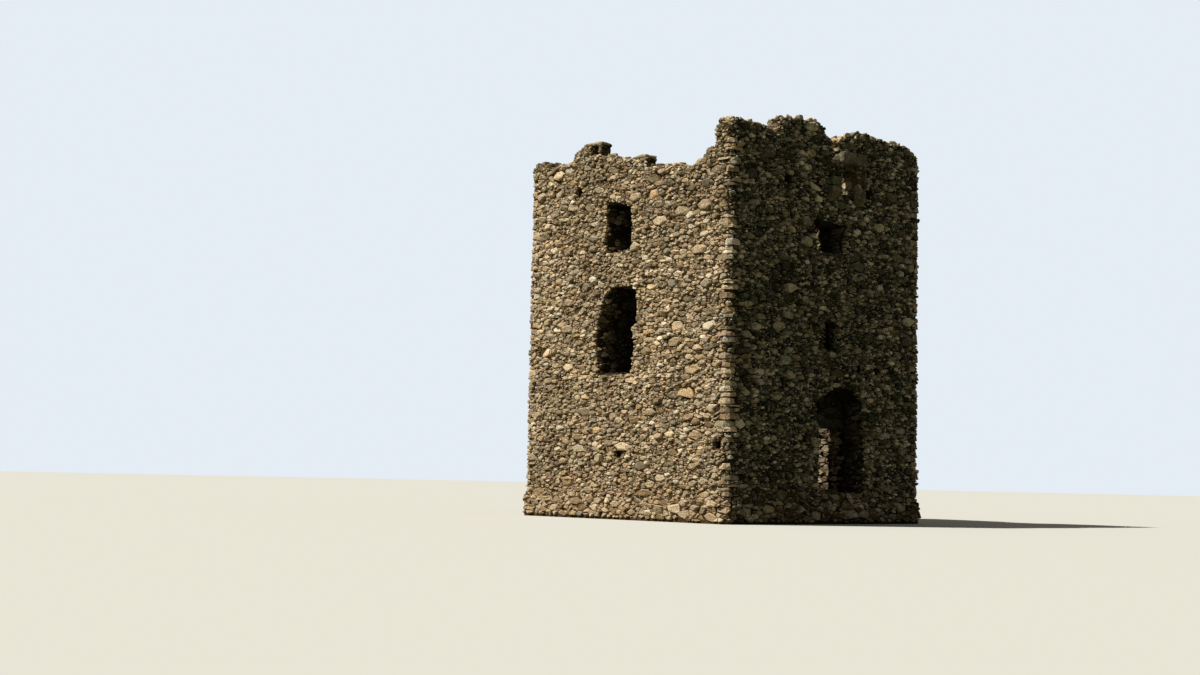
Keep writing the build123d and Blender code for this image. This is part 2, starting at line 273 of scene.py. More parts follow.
def bump(tree, shader, height, distance):
    """Gives a shader a bump of a real height in metres."""
    made = node(tree, "ShaderNodeBump", Height=height, Strength=1.0, Distance=distance)
    feed(tree, shader.inputs["Normal"], made.outputs["Normal"])


def rough_face(tree, shader, coordinates):
    """Gives a stone's face its small roughness."""
    bump(tree, shader, noise(tree, coordinates, 24.0, 6.0, 0.65), 0.03)


def start_material(name, roughness):
    """Starts a rough, plain material and returns it with its tree, shader and coordinates."""
    material = bpy.data.materials.new(name)
    material.use_nodes = True
    tree = material.node_tree
    shader = tree.nodes["Principled BSDF"]
    shader.inputs["Roughness"].default_value = roughness
    shader.inputs["Specular IOR Level"].default_value = 0.04
    coordinates = tree.nodes.new("ShaderNodeTexCoord").outputs["Object"]
    return material, tree, shader, coordinates

# %% [markdown]
# The palette is a ramp with hard steps, so a stone is one colour and not a blend of two. Wide
# steps are the common stones and narrow steps are the rare ones. Walls in shade get painted shade:
# the same stones with a cool, dark tint, most of them dark, with moss over them. The stones
# inside an opening get darker with every hand's breadth away from the outer face, which is
# painted shade too.

# %% Make the rubble materials
rubble_palette = [
    (0.00, (0.430, 0.330, 0.215)),
    (0.20, (0.480, 0.378, 0.255)),
    (0.40, (0.370, 0.275, 0.165)),
    (0.54, (0.530, 0.430, 0.305)),
    (0.68, (0.300, 0.215, 0.125)),
    (0.76, (0.450, 0.320, 0.185)),
    (0.83, (0.430, 0.310, 0.225)),
    (0.89, (0.580, 0.500, 0.385)),
    (0.94, (0.330, 0.280, 0.185)),
    (0.98, (0.620, 0.550, 0.440)),
]
# Painted shade: a cool, dark tint that stands for sky light on stones in shade.
shade_tint = (0.72, 0.82, 0.90)
shaded_palette = [
    (place, tuple(channel * tint for channel, tint in zip(colour, shade_tint)))
    for place, colour in rubble_palette
]
lichen_colour = (0.61, 0.59, 0.50)
moss_colour = (0.062, 0.066, 0.022)
earth_colour = (0.34, 0.20, 0.10)
moss_from = 6.5
wall_head_height = cad_bounds[1][2]
painted_foot_shade_up_to = 8.5
soil_up_to = 1.3
tower_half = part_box("corner_back_right")[1][0]
lit_depth = 0.15
dark_depth = 0.70


def stone_material(name, palette, tones, mossy=0.15, earthy=0.0, fleck=0.58, painted_foot_shade=1.0,
                   mostly_dark=False, painted_shade_within=False):
    """Makes a stone finish whose colour follows each stone's own kind and tone."""
    material, tree, shader, coordinates = start_material(name, 0.92)
    place = axes_of(tree, coordinates)
    level = place["Z"]
    colour = ramp(tree, own_value(tree, "kind"), palette, "CONSTANT")
    brightness = own_value(tree, "tone")
    if mostly_dark:
        brightness = times(tree, brightness, brightness)
    colour = shaded_by(tree, colour, spread(tree, brightness, 0, 1, *tones))
    weather = noise(tree, coordinates, 0.55, 2.0)
    colour = shaded_by(tree, colour, spread(tree, weather, 0.35, 0.65, 0.86, 1.16))
    grains = noise(tree, coordinates, 30.0, 4.0, 0.7)
    speckle = ramp(tree, grains, [(0.30, (0.1, 0.1, 0.1)), (0.70, (0.9, 0.9, 0.9))])
    colour = mix(tree, "OVERLAY", 0.85, colour, speckle)
    flecks = spread(tree, noise(tree, coordinates, 13.0, 5.0, 0.65), fleck, fleck + 0.07)
    patches = spread(tree, noise(tree, coordinates, 1.1, 4.0, 0.6), 0.42, 0.60, 0.15, 0.75)
    colour = mix(tree, "MIX", times(tree, flecks, patches), colour, lichen_colour)
    mosses = spread(tree, noise(tree, coordinates, 4.2, 5.0, 0.7), 0.47, 0.62)
    more_above = spread(tree, level, moss_from, wall_head_height, mossy, max(0.7, mossy))
    colour = mix(tree, "MIX", times(tree, mosses, more_above), colour, moss_colour)
    if earthy:
        soil = spread(tree, noise(tree, coordinates, 2.4, 4.0, 0.6), 0.38, 0.62, 0.3, 1.0)
        at_foot = spread(tree, level, 0.2, soil_up_to, earthy, 0.0)
        colour = mix(tree, "MIX", times(tree, soil, at_foot), colour, earth_colour)
    # Painted shade: darker towards the foot, where less light reaches into the tower and its openings.
    if painted_foot_shade < 1:
        colour = shaded_by(tree, colour, spread(tree, level, painted_foot_shade_up_to / 2, painted_foot_shade_up_to, painted_foot_shade, 1.0))
    # Painted shade: stones inside an opening get darker the farther they lie from the outer face.
    if painted_shade_within:
        across, along = (maths(tree, "ABSOLUTE", place[axis], 0) for axis in "XY")
        from_middle = maths(tree, "MAXIMUM", across, along)
        near_face = spread(tree, from_middle, tower_half - dark_depth, tower_half - lit_depth, 0.10, 1.0)
        colour = shaded_by(tree, colour, near_face)
    tree.links.new(colour, shader.inputs["Base Color"])
    rough_face(tree, shader, coordinates)
    return material


rubble = stone_material("rubble_stone", rubble_palette, (0.50, 1.38), earthy=0.4, fleck=0.55)
# Besides the plain rubble, these finishes paint shade as darker, mostly cooler copies for stones in shade.
# The right wall gets half moss and half painted shade, and the front wall moss and painted shade. The
# reveals, undersides and inner faces get painted shade, and the sunlit inner right wall only a little, at
# its foot.
side_rubble = stone_material(
    "half_mossy_rubble_stone", rubble_palette, (0.25, 1.25), mossy=0.50, earthy=0.3)
sunlit_inner_rubble = stone_material(
    "sunlit_inner_stone", rubble_palette, (0.25, 1.05), mossy=0.2, painted_foot_shade=0.8)
shaded_rubble = stone_material(
    "mossy_rubble_stone", shaded_palette, (0.03, 1.85), mossy=0.80, earthy=0.2, fleck=0.54,
    mostly_dark=True)
reveal_rubble = stone_material(
    "dark_rubble_stone", shaded_palette, (0.03, 0.48), mossy=0.60, fleck=0.60, painted_shade_within=True)
left_reveal_rubble = stone_material(
    "half_dark_rubble_stone", rubble_palette, (0.05, 1.60), mossy=0.50, fleck=0.56,
    mostly_dark=True, painted_shade_within=True)
inner_rubble = stone_material(
    "inner_rubble_stone", shaded_palette, (0.16, 0.75), mossy=0.50, painted_foot_shade=0.60)
soffit_rubble = stone_material(
    "black_rubble_stone", shaded_palette, (0.01, 0.09), mossy=0.30, fleck=0.70)
# Painted shade, the deepest: for recesses, undersides and the back wall's inner side.
painted_shade_rubble = stone_material(
    "damp_rubble_stone", shaded_palette, (0.05, 0.34), mossy=0.45, painted_foot_shade=0.35)

# %% [markdown]
# ## Mortar
#
# Between the stones the old lime mortar has weathered back and is full of grit and soil. It is
# a finish of the solids themselves, so it needs no shape of its own. On the sunny left wall it
# is dry and brown, and everywhere else it is darkened nearly to black, partly as damp and partly
# as painted shade.

# %% Make the mortar and give it to the solids
mortar, tree, shader, coordinates = start_material("weathered_mortar", 0.95)
grit = noise(tree, coordinates, 30.0, 6.0, 0.7)
damp = noise(tree, coordinates, 1.6, 3.0)
dry_mortar = [(0.30, (0.034, 0.018, 0.006)), (0.50, (0.088, 0.054, 0.022)), (0.72, (0.19, 0.135, 0.070))]
mortar_colour = ramp(tree, grit, dry_mortar)
dampness = ramp(tree, damp, [(0.35, (0.55, 0.52, 0.42)), (0.65, (1, 1, 1))])
mortar_colour = mix(tree, "MULTIPLY", 0.6, mortar_colour, dampness)
# Painted shade, with damp: away from the sunny left face the mortar is darkened.
left_face = cad_bounds[0][0]
away_from_sun = spread(tree, axes_of(tree, coordinates)["X"], left_face + 0.10, left_face + 0.25)
mortar_colour = mix(tree, "MULTIPLY", away_from_sun, mortar_colour, (0.26, 0.30, 0.26))
tree.links.new(mortar_colour, shader.inputs["Base Color"])
bump(tree, shader, grit, 0.02)
for name, solid in nodes.items():
    solid.data.materials.clear()
    solid.data.materials.append(mortar)
print("mortar on", len(nodes), "solids")

# %% [markdown]
# ## Where there is wall
#
# The solids say where a stone may lie. All their triangles go into one search tree, and a ray
# thrown at a face tells whether there is wall at that point. So the openings, the broken tops
# and the holes are never listed a second time here: they follow the solids. A hole so small
# that stones would fill it stays bare inside.

# %% Gather the solids in a search tree
stone_slots = ("rubble", "footing_stone", "paving")
all_points = []
all_triangles = []
stone_faces = []
for name, solid in sorted(nodes.items()):
    first = len(all_points)
    matrix = solid.matrix_world
    all_points.extend(matrix @ vertex.co for vertex in solid.data.vertices)
    solid.data.calc_loop_triangles()
    for triangle in solid.data.loop_triangles:
        corners = tuple(first + index for index in triangle.vertices)
        all_triangles.append(corners)
        if slot_of[name] in stone_slots or name == "box_cheek":
            stone_faces.append(corners)
solids_tree = BVHTree.FromPolygons(all_points, all_triangles)
print(len(all_triangles), "triangles in the search tree")

look_back = 0.03
same_plane = 0.008
inside_step = 0.02
least_room = 0.17


def has_wall(point, normal):
    """Tells whether a point of a face's plane lies on a solid."""
    start = point + normal * look_back
    place, _, _, distance = solids_tree.ray_cast(start, -normal, 2 * look_back)
    return place is not None and abs(distance - look_back) < same_plane


def is_open(point, normal):
    """Tells whether a stone has room in front of a point, and isn't in a neighbour or a small hole."""
    place, hit_normal, _, distance = solids_tree.ray_cast(point + normal * inside_step, normal)
    return place is None or (hit_normal.dot(normal) < 0 and distance > least_room)

# %% [markdown]
# ## Laying stones
#
# A stone starts as a disc on the wall's face, wider than it is high. Discs are thrown at the
# face like darts, the large sizes first, and one stays only if it overlaps its neighbours by no
# more than a little. Then each disc grows to a polygon that meets its neighbours, with the line
# between two of them nearer to the smaller one. Cutting the plane like this is called a power
# diagram, and it gives what a mason gets: large stones with small ones packed around them.

# %% Throw the stones
stretch = 1.85
packing = 0.80
reach_out = 1.60


def throw_stones(pick, area, sizes, rng, period=None):
    """Throws stones at a surface, large sizes first. A stone is its place u, v and its half width."""
    bucket = 2 * sizes[0][1]
    columns = max(1, round(period / bucket)) if period else None
    width = period / columns if period else bucket
    buckets = {}
    stones = []
    for smallest, largest, tries in sizes:
        for attempt in range(int(area * tries) + 1):
            spot = pick(rng)
            if spot is None:
                continue
            u, v = spot
            v *= stretch
            size = rng.uniform(smallest, largest)
            column, row = int(u // width), int(v // bucket)
            if room_for(stones, buckets, u, v, size, column, row, columns, period):
                key = (column % columns if columns else column, row)
                buckets.setdefault(key, []).append(len(stones))
                stones.append((u, v, size))
    return stones, buckets, width, bucket, columns


def wrapped(gap, period):
    """Gives the shorter way round a closed strip."""
    if period:
        return gap - period * round(gap / period)
    return gap


def nearby(buckets, column, row, columns):
    """Lists the stones in the buckets around one bucket."""
    for i in (column - 1, column, column + 1):
        for j in (row - 1, row, row + 1):
            yield from buckets.get((i % columns if columns else i, j), ())


def room_for(stones, buckets, u, v, size, column, row, columns, period):
    """Tells whether a stone of this size finds room at u, v."""
    for other in nearby(buckets, column, row, columns):
        other_u, other_v, other_size = stones[other]
        needed = packing * (size + other_size)
        across_gap = wrapped(u - other_u, period)
        up_gap = v - other_v
        if across_gap * across_gap + up_gap * up_gap < needed * needed:
            return False
    return True

# %% Grow each stone to a polygon
def clipped(polygon, a, b, limit):
    """Keeps the part of a polygon where a * x + b * y is at most limit."""
    kept = []
    last_x, last_y = polygon[-1]
    last = a * last_x + b * last_y - limit
    for x, y in polygon:
        here = a * x + b * y - limit
        if (here <= 0) != (last <= 0):
            share = last / (last - here)
            kept.append((last_x + (x - last_x) * share, last_y + (y - last_y) * share))
        if here <= 0:
            kept.append((x, y))
        last_x, last_y, last = x, y, here
    return kept


corner_counts = (5, 6, 7)
corner_wander = 0.22
corner_reach = (0.86, 1.12)
most_corners = 6
nothing_to_cut = 1.2


def first_outline(out, rng):
    """Gives a stone's own uneven outline, before its neighbours cut it."""
    count = rng.choice(corner_counts)
    start = rng.random()
    outline = []
    for step in range(count):
        angle = 2 * math.pi * (step + start + rng.uniform(-corner_wander, corner_wander)) / count
        length = out * rng.uniform(*corner_reach)
        outline.append((math.cos(angle) * length, math.sin(angle) * length))
    return outline


def simpler(polygon):
    """Drops the corners that matter least while a polygon has too many."""
    polygon = list(polygon)
    while len(polygon) > most_corners:
        losses = []
        for index, (x, y) in enumerate(polygon):
            before_x, before_y = polygon[index - 1]
            after_x, after_y = polygon[(index + 1) % len(polygon)]
            losses.append(abs((x - before_x) * (after_y - before_y) - (y - before_y) * (after_x - before_x)))
        polygon.pop(losses.index(min(losses)))
    return polygon


def grow_stones(thrown, joint, rng, period=None):
    """Cuts the face into one polygon for each stone, with a joint left between them."""
    stones, buckets, width, bucket, columns = thrown
    shapes = []
    for index, (u, v, size) in enumerate(stones):
        out = reach_out * size
        polygon = first_outline(out, rng)
        for other in nearby(buckets, int(u // width), int(v // bucket), columns):
            if other == index:
                continue
            other_u, other_v, other_size = stones[other]
            a = wrapped(other_u - u, period)
            b = other_v - v
            squared = a * a + b * b
            halfway = (squared + size * size - other_size * other_size) / 2
            limit = halfway - joint * math.sqrt(squared)
            if limit < out * math.sqrt(squared) * nothing_to_cut:
                polygon = clipped(polygon, a, b, limit)
            if len(polygon) < 3:
                break
        if len(polygon) >= 3:
            polygon = [(x, y / stretch) for x, y in simpler(polygon)]
            shapes.append((u, v / stretch, size, polygon))
    return shapes

# %% Place the polygons on the wall
shortest_edge = 0.014
slimmest = 0.45
smallest_stone = 0.026
overhang = 0.012
sunk = 0.03
steepest = 0.46
shares_kept = (1.0, 0.8, 0.6, 0.4, 0.2)
stub_share = 0.15


def tidy_polygon(polygon):
    """Drops points that lie closer together than the shortest edge."""
    kept = []
    for point in polygon:
        if not kept or math.dist(point, kept[-1]) > shortest_edge:
            kept.append(point)
    if len(kept) > 1 and math.dist(kept[0], kept[-1]) <= shortest_edge:
        kept.pop()
    return kept


def true_size(polygon):
    """Gives the half width of a polygon from its area, or none where it is a sliver."""
    area = 0.0
    edge = 0.0
    for index, (x, y) in enumerate(polygon):
        last_x, last_y = polygon[index - 1]
        area += (last_x * y - x * last_y) / 2
        edge += math.hypot(x - last_x, y - last_y)
    if 4 * math.pi * area < slimmest * edge * edge:
        return None
    return math.sqrt(stretch * area / math.pi)


def trimmed(u, v, x, y, stands, lip):
    """Draws one corner of a stone back towards its middle until it stands on wall."""
    length = math.hypot(x, y)
    for share in shares_kept:
        tested = max(0.0, share - lip / length)
        if stands(u + x * tested, v + y * tested):
            return x * share, y * share
    return x * stub_share, y * stub_share


def place_stones(shapes, to_face, rng, lip=overhang, stands=None):
    """Returns each stone's points in space, kind, tone, lift, size, outward side and tilts."""
    stands = stands or (lambda u, v: has_wall(*to_face(u, v)))
    placed = []
    for u, v, size, polygon in shapes:
        polygon = tidy_polygon([trimmed(u, v, x, y, stands, lip) for x, y in polygon])
        left_over = true_size(polygon) if len(polygon) > 2 else None
        if left_over is None or left_over < smallest_stone:
            continue
        size = min(size, left_over)
        points = []
        tilts = []
        lean = rng.uniform(0, 2 * math.pi)
        slope = rng.uniform(0.0, steepest)
        for x, y in polygon:
            point, normal = to_face(u + x, v + y)
            points.append(point - normal * sunk)
            tilts.append(slope * (x * math.cos(lean) + y * math.sin(lean)))
        outward = to_face(u, v)[1]
        placed.append((points, rng.random(), rng.random(), rng.random(), size, outward, tilts))
    return placed

# %% [markdown]
# ## From polygon to stone
#
# The layout is flat: one polygon for each stone, a little behind the wall's face, so that the
# stone's edge is sunk in the mortar. Geometry Nodes raise them all at once. The tree pushes each
# face out, draws its edge in a little, pushes it out again and draws it in more, so that the
# stone has a steep side, a sloping shoulder and a crown. A small stone has only the side, and a
# middling one has no crown. Each stone also leans its own way, and noise then moves every point,
# so no two are alike. This is one rule for thousands of stones, which is what a node tree is
# for, and its sizes are inputs, so the same tree lays walls, footings and paving.

# %% Helpers for building a geometry tree
def start_tree(name, numbers):
    """Starts a tree that takes a mesh, numbers and a material; returns it, its inputs and their keys."""
    tree = bpy.data.node_groups.new(name, "GeometryNodeTree")
    socket = tree.interface.new_socket
    socket("Geometry", in_out="INPUT", socket_type="NodeSocketGeometry")
    keys = {}
    for label, value in numbers.items():
        made = socket(label, in_out="INPUT", socket_type="NodeSocketFloat")
        made.default_value = value
        keys[label] = made.identifier
    keys["Material"] = socket("Material", in_out="INPUT", socket_type="NodeSocketMaterial").identifier
    socket("Geometry", in_out="OUTPUT", socket_type="NodeSocketGeometry")
    return tree, tree.nodes.new("NodeGroupInput").outputs, keys


def named(tree, name, kind="FLOAT"):
    """Reads an attribute that the layout carries."""
    made = tree.nodes.new("GeometryNodeInputNamedAttribute")
    made.data_type = kind
    made.inputs["Name"].default_value = name
    return made.outputs["Attribute"]


def scaled(tree, vector, factor):
    """Scales a vector by a value."""
    made = tree.nodes.new("ShaderNodeVectorMath")
    made.operation = "SCALE"
    tree.links.new(vector, made.inputs[0])
    tree.links.new(factor, made.inputs["Scale"])
    return made.outputs[0]


def grain(tree, start, detail):
    """Adds noise whose scale and seed are inputs of the tree."""
    made = node(tree, "ShaderNodeTexNoise", Detail=detail)
    made.noise_dimensions = "4D"
    tree.links.new(start["Grain"], made.inputs["Scale"])
    tree.links.new(start["Seed"], made.inputs["W"])
    return made.outputs


def moved(tree, geometry, offset, **where):
    """Moves the points of a mesh, or the selected ones."""
    return node(tree, "GeometryNodeSetPosition", Geometry=geometry, Offset=offset, **where).outputs[0]


def end_tree(tree, start, geometry):
    """Makes one plain mesh of the result and gives it its material."""
    plain = node(tree, "GeometryNodeRealizeInstances", Geometry=geometry).outputs[0]
    finish = node(tree, "GeometryNodeSetMaterial", Geometry=plain, Material=start["Material"])
    node(tree, "NodeGroupOutput", Geometry=finish.outputs[0])


def add_tree(piece, tree, keys, values):
    """Puts a tree on a piece as a modifier, with its inputs set."""
    modifier = piece.modifiers.new(tree.name, "NODES")
    modifier.node_group = tree
    for key, value in values.items():
        modifier[keys[key]] = value

# %% Build the tree that raises stones
wall_look = {"Proud": 0.105, "Shoulder": 0.86, "Crown": 0.70, "Small Size": 0.045, "Large Size": 0.072,
             "Full Size": 0.060, "Sunk": sunk, "Roughness": 0.065, "Grain": 12.0, "Seed": 0.0}
flattest = 0.35
side_share, small_side_share = 0.55, 0.92
side_draw, small_side_draw = 0.97, 0.76
shoulder_share = 0.33
crown_share = 0.12


def build_raising_tree():
    """Builds the node tree that turns flat polygons into stones."""
    tree, start, keys = start_tree("raise_stones", wall_look)
    size = named(tree, "size")
    lift = maths(tree, "MULTIPLY_ADD", named(tree, "lift"), 1 - flattest, flattest)
    fullness = maths(tree, "MINIMUM", maths(tree, "DIVIDE", size, start["Full Size"]), 1.0)
    height = times(tree, times(tree, lift, start["Proud"]), fullness)
    is_large = maths(tree, "GREATER_THAN", size, start["Large Size"])
    is_medium = maths(tree, "GREATER_THAN", size, start["Small Size"])
    is_small = maths(tree, "SUBTRACT", 1.0, is_medium)
    side_height = maths(tree, "MULTIPLY_ADD", is_small, small_side_share - side_share, side_share)
    side_scale = maths(tree, "MULTIPLY_ADD", is_small, small_side_draw - side_draw, side_draw)
    lean = scaled(tree, named(tree, "outward", "FLOAT_VECTOR"), times(tree, named(tree, "tilt"), 0.5))

    geometry = start["Geometry"]
    top = None
    rings = (
        (side_height, start["Sunk"], side_scale, None, True),
        (shoulder_share, 0.0, start["Shoulder"], is_medium, True),
        (crown_share, 0.0, start["Crown"], is_large, False),
    )
    for part_of_height, added, scale, only_where, leans in rings:
        push_out = maths(tree, "MULTIPLY_ADD", height, part_of_height, added)
        push = node(tree, "GeometryNodeExtrudeMesh", Mesh=geometry, Offset_Scale=push_out, Individual=True)
        push.mode = "FACES"
        if only_where:
            both = tree.nodes.new("FunctionNodeBooleanMath")
            both.operation = "AND"
            feed(tree, both.inputs[0], top)
            feed(tree, both.inputs[1], only_where)
            feed(tree, push.inputs["Selection"], both.outputs[0])
        top = push.outputs["Top"]
        pushed = {"Geometry": push.outputs["Mesh"], "Selection": top}
        draw_in = node(tree, "GeometryNodeScaleElements", Scale=scale, **pushed)
        draw_in.domain = "FACE"
        geometry = draw_in.outputs["Geometry"]
        if leans:
            geometry = moved(tree, geometry, lean, Selection=top)

    centred = tree.nodes.new("ShaderNodeVectorMath")
    centred.operation = "SUBTRACT"
    centred.inputs[1].default_value = (0.5, 0.5, 0.5)
    feed(tree, centred.inputs[0], grain(tree, start, 1.0)["Color"])
    rough = scaled(tree, centred.outputs[0], start["Roughness"])
    end_tree(tree, start, moved(tree, geometry, rough))
    return tree, keys


raising_tree, raising_inputs = build_raising_tree()
total_triangles = 0

# %% Make a piece from placed stones
def evaluated_mesh(piece, name):
    """Applies a piece's modifiers and gives it the plain mesh that comes out."""
    depsgraph = bpy.context.evaluated_depsgraph_get()
    evaluated = piece.evaluated_get(depsgraph)
    finished = bpy.data.meshes.new_from_object(evaluated, preserve_all_data_layers=True, depsgraph=depsgraph)
    piece.modifiers.clear()
    piece.data = finished
    finished.name = name
    return sum(len(polygon.vertices) - 2 for polygon in finished.polygons)


def raise_stones(name, placed, material, slot, **look):
    """Makes one piece from placed polygons: builds the flat layout and raises it to stones."""
    global total_triangles
    points = []
    faces = []
    values = {"kind": [], "tone": [], "lift": [], "size": [], "tilt": []}
    outwards = []
    for corners, kind, tone, lift, size, outward, tilts in placed:
        faces.append(tuple(range(len(points), len(points) + len(corners))))
        points.extend(corners)
        for key, value in (("kind", kind), ("tone", tone), ("lift", lift), ("size", size)):
            values[key].extend([value] * len(corners))
        values["tilt"].extend(tilts)
        for corner in corners:
            outwards.extend(outward)
    layout = bpy.data.meshes.new(name)
    layout.from_pydata(points, [], faces)
    for key, numbers in values.items():
        layout.attributes.new(key, "FLOAT", "POINT").data.foreach_set("value", numbers)
    layout.attributes.new("outward", "FLOAT_VECTOR", "POINT").data.foreach_set("vector", outwards)
    piece = add_object(name, layout)
    add_tree(piece, raising_tree, raising_inputs, {**wall_look, **look, "Material": material})
    triangles = evaluated_mesh(piece, name)
    for key in ("lift", "size", "tilt", "outward"):
        if key in piece.data.attributes:
            piece.data.attributes.remove(piece.data.attributes[key])
    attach(piece, "root")
    total_triangles += triangles
    print(name, len(placed), "stones", triangles, "triangles, in all", total_triangles)

# %% [markdown]
# ## The outer faces
#
# The tower's corners are rounded and its masons carried the stones round them, so the four
# outer faces are laid as one closed strip. A function folds the strip round the tower: along
# each wall it is straight, and at each corner it follows the arc. The polygons are sorted to
# their walls afterwards, one piece for each.

# %% Fold a strip round the tower
footing_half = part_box("footing_front")[1][0]
footing_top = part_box("footing_front")[1][2]
near_corner = nodes["corner_front_left"]
corner_points = [near_corner.matrix_world @ vertex.co for vertex in near_corner.data.vertices]
widest = max(abs(point.x) + abs(point.y) for point in corner_points)
corner_radius = (2 * tower_half - widest) / (2 - math.sqrt(2))
footing_radius = corner_radius + footing_half - tower_half
print("corner radius", round(corner_radius, 3))
directions = [
    (Vector((0, -1, 0)), Vector((1, 0, 0))),
    (Vector((1, 0, 0)), Vector((0, 1, 0))),
    (Vector((0, 1, 0)), Vector((-1, 0, 0))),
    (Vector((-1, 0, 0)), Vector((0, -1, 0))),
]
wall_names = ("front", "right", "back", "left")


def strip_round(half, radius):
    """Returns the length of a quarter of the strip and the function that folds it."""
    straight = half - radius
    quarter = 2 * straight + radius * math.pi / 2

    def fold(u, v):
        wall = int((u // quarter) % 4)
        outward, along = directions[wall]
        place = u % quarter - quarter / 2
        if abs(place) <= straight:
            normal = outward
            point = outward * half + along * place
        else:
            side = math.copysign(1, place)
            turn = (abs(place) - straight) / radius
            normal = outward * math.cos(turn) + along * side * math.sin(turn)
            point = outward * straight + along * side * straight + normal * radius
        return point + Vector((0, 0, v)), normal

    return quarter, fold


rng = random.Random(7)
quarter, fold_wall = strip_round(tower_half, corner_radius)
perimeter = 4 * quarter
print("strip", round(perimeter, 2), "m round the tower")

# %% [markdown]
# The corners need care. Masons keep their flattest and squarest stones for them, and lay them by
# turns along one wall and along the other, so that the two walls are tied together. Here each
# corner stone is drawn in plan, as a block with its outer corner knocked off, and the same tree
# raises it. The places that they take up on the strip are kept, so that no other stone is laid
# there.

# %% Stack the corner stones
corner_heights = (0.05, 0.16)
corner_lengths = ((0.09, 0.24), (0.16, 0.42))
corner_proud = (0.015, 0.045)
corner_cut = (0.04, 0.12)
corner_tilt = 0.03
gap_chance = 0.30
corner_joint = 0.012
rough_top = 0.35
least_rise = 0.01
tallest = corner_heights[1]
arc_saving = corner_radius * (1 - math.pi / 4)
corner_stones = {"left": [], "right": []}
corner_lays = {corner: [] for corner in range(4)}
for corner in range(4):
    outward_a = directions[corner - 1][0]
    outward_b = directions[corner][0]
    level = footing_top + least_rise
    turn = corner % 2
    while level < wall_head_height:
        high = rng.uniform(*corner_heights)
        lengths = [rng.uniform(*corner_lengths[(turn + side) % 2]) for side in range(2)]
        shifts = [
            way * share * (length - arc_saving)
            for way, length in zip((-1, 1), lengths) for share in (0.5, 0.75, 1)
        ]
        rises = (least_rise, high / 2, high, high + rough_top)
        probes = [
            fold_wall((corner * quarter + shift) % perimeter, level + rise)
            for shift in shifts for rise in rises
        ]
        if rng.random() < gap_chance or not all(has_wall(*probe) for probe in probes):
            level += high
            continue
        proud_a, proud_b = rng.uniform(*corner_proud), rng.uniform(*corner_proud)
        cut_a, cut_b = rng.uniform(*corner_cut), rng.uniform(*corner_cut)
        tip = (outward_a + outward_b) * tower_half + up * level
        corners = [
            tip + outward_a * proud_a - outward_b * lengths[0],
            tip + outward_a * proud_a - outward_b * cut_a,
            tip + outward_b * proud_b - outward_a * cut_b,
            tip + outward_b * proud_b - outward_a * lengths[1],
            tip - outward_a * lengths[1] - outward_b * lengths[0],
        ]
        tilts = [rng.uniform(-corner_tilt, corner_tilt) for point in corners]
        side = "left" if tip.x < 0 else "right"
        lift = (high / tallest - flattest) / (1 - flattest)
        corner_stones[side].append((corners, rng.random(), rng.random(), lift, 1.0, up, tilts))
        corner_lays[corner].append((level, level + high, lengths))
        level += high + corner_joint
        turn += 1
corner_look = {"Proud": tallest, "Sunk": 0.0, "Shoulder": 0.90, "Crown": 0.8, "Roughness": 0.075}
# The corner stones on the right side take the right wall's half moss and half painted shade.
for side, material in (("left", rubble), ("right", side_rubble)):
    raise_stones(f"corner_stones_{side}", corner_stones[side], material, "rubble", **corner_look)


def on_corner_stone(u, v):
    """Tells whether a point of the strip is taken by a corner stone."""
    corner = round(u / quarter)
    gap = u - corner * quarter
    if abs(gap) > corner_lengths[1][1]:
        return False
    for low, high, lengths in corner_lays[corner % 4]:
        if low - corner_joint <= v <= high + corner_joint:
            return abs(gap) < lengths[0 if gap < 0 else 1] - arc_saving
    return False

# %% Lay the outer stones
outer_sizes = (
    (0.20, 0.27, 0.8), (0.12, 0.18, 4.0), (0.075, 0.115, 26), (0.050, 0.072, 110), (0.031, 0.045, 400),
)
outer_joint = 0.005
# The front wall gets moss and painted shade, the right wall half of both; the back and left walls keep the
# plain rubble.
wall_materials = {"front": shaded_rubble, "right": side_rubble, "back": rubble, "left": rubble}
hole_rim = 0.035
hole_span = 0.24


def beside_hole(u, v):
    """Tells whether a small hole opens beside a point, where a stone's rough edge would close it."""
    for way_u, way_v in ((1, 0), (-1, 0), (0, 1), (0, -1)):
        rim, far_side = (
            fold_wall((u + way_u * far) % perimeter, v + way_v * far) for far in (hole_rim, hole_span)
        )
        if has_wall(*far_side) and not has_wall(*rim):
            return True
    return False


def stands_on_wall(u, v):
    """Tells whether a stone may stand at a point of the strip."""
    stands = has_wall(*fold_wall(u % perimeter, v)) and not on_corner_stone(u % perimeter, v)
    return stands and not beside_hole(u, v)


def pick_on_walls(rng):
    """Picks a point of the strip where a stone may stand."""
    u = rng.uniform(0, perimeter)
    v = rng.uniform(footing_top, wall_head_height)
    return (u, v) if stands_on_wall(u, v) else None


outer_area = perimeter * (wall_head_height - footing_top)
thrown = throw_stones(pick_on_walls, outer_area, outer_sizes, rng, perimeter)
shapes = grow_stones(thrown, outer_joint, rng, perimeter)
for wall, name in enumerate(wall_names):
    own = [shape for shape in shapes if int((shape[0] // quarter) % 4) == wall]
    placed = place_stones(own, fold_wall, rng, stands=stands_on_wall)
    raise_stones(f"outer_stones_{name}", placed, wall_materials[name], "rubble", Seed=float(wall))

# %% Lay the footing stones
footing_sizes = ((0.16, 0.25, 7), (0.09, 0.14, 60), (0.05, 0.075, 200))
footing_joint = 0.007
footing_foot = 0.05
footing_quarter, fold_footing = strip_round(footing_half, footing_radius)
footing_perimeter = 4 * footing_quarter


def pick_on_footing(rng):
    """Picks a point of the footing's strip."""
    return rng.uniform(0, footing_perimeter), rng.uniform(footing_foot, footing_top)


def stands_on_footing(u, v):
    """Keeps the footing stones off the ground, so that none dips below it."""
    return footing_foot <= v <= footing_top


